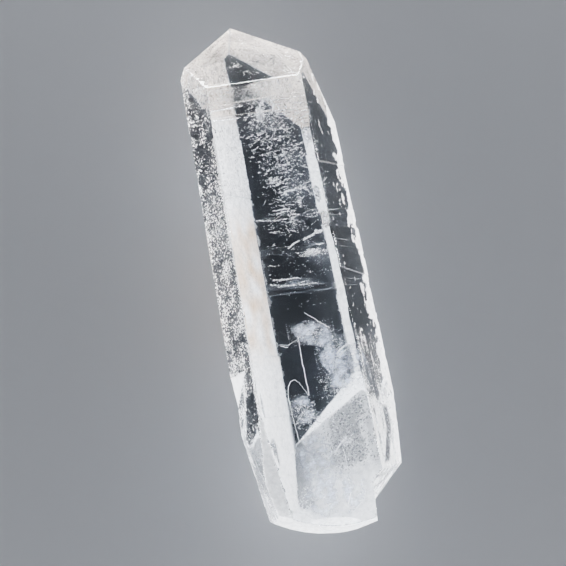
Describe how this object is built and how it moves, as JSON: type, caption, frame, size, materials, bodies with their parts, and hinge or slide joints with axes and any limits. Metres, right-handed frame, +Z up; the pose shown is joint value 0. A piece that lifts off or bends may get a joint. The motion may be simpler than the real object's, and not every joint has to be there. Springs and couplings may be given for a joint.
{
  "type": "quartz crystal",
  "caption": "Single clear quartz point with a rhombohedral tip and a broken, scarred foot, lying on one prism face.",
  "frame": {"origin": "bottom centre of the crystal's box, on the surface that it lies on", "axes": "+Y along the crystal towards its tip, +Z up out of the wide prism face on top, +X across to the right"},
  "size_m": [0.0208, 0.0648, 0.0169],
  "materials": {
    "clear_quartz": "clear, with frosted and veined patches"
  },
  "bodies": {
    "root": {"quartz_crystal": "clear_quartz"}
  },
  "joints": []
}
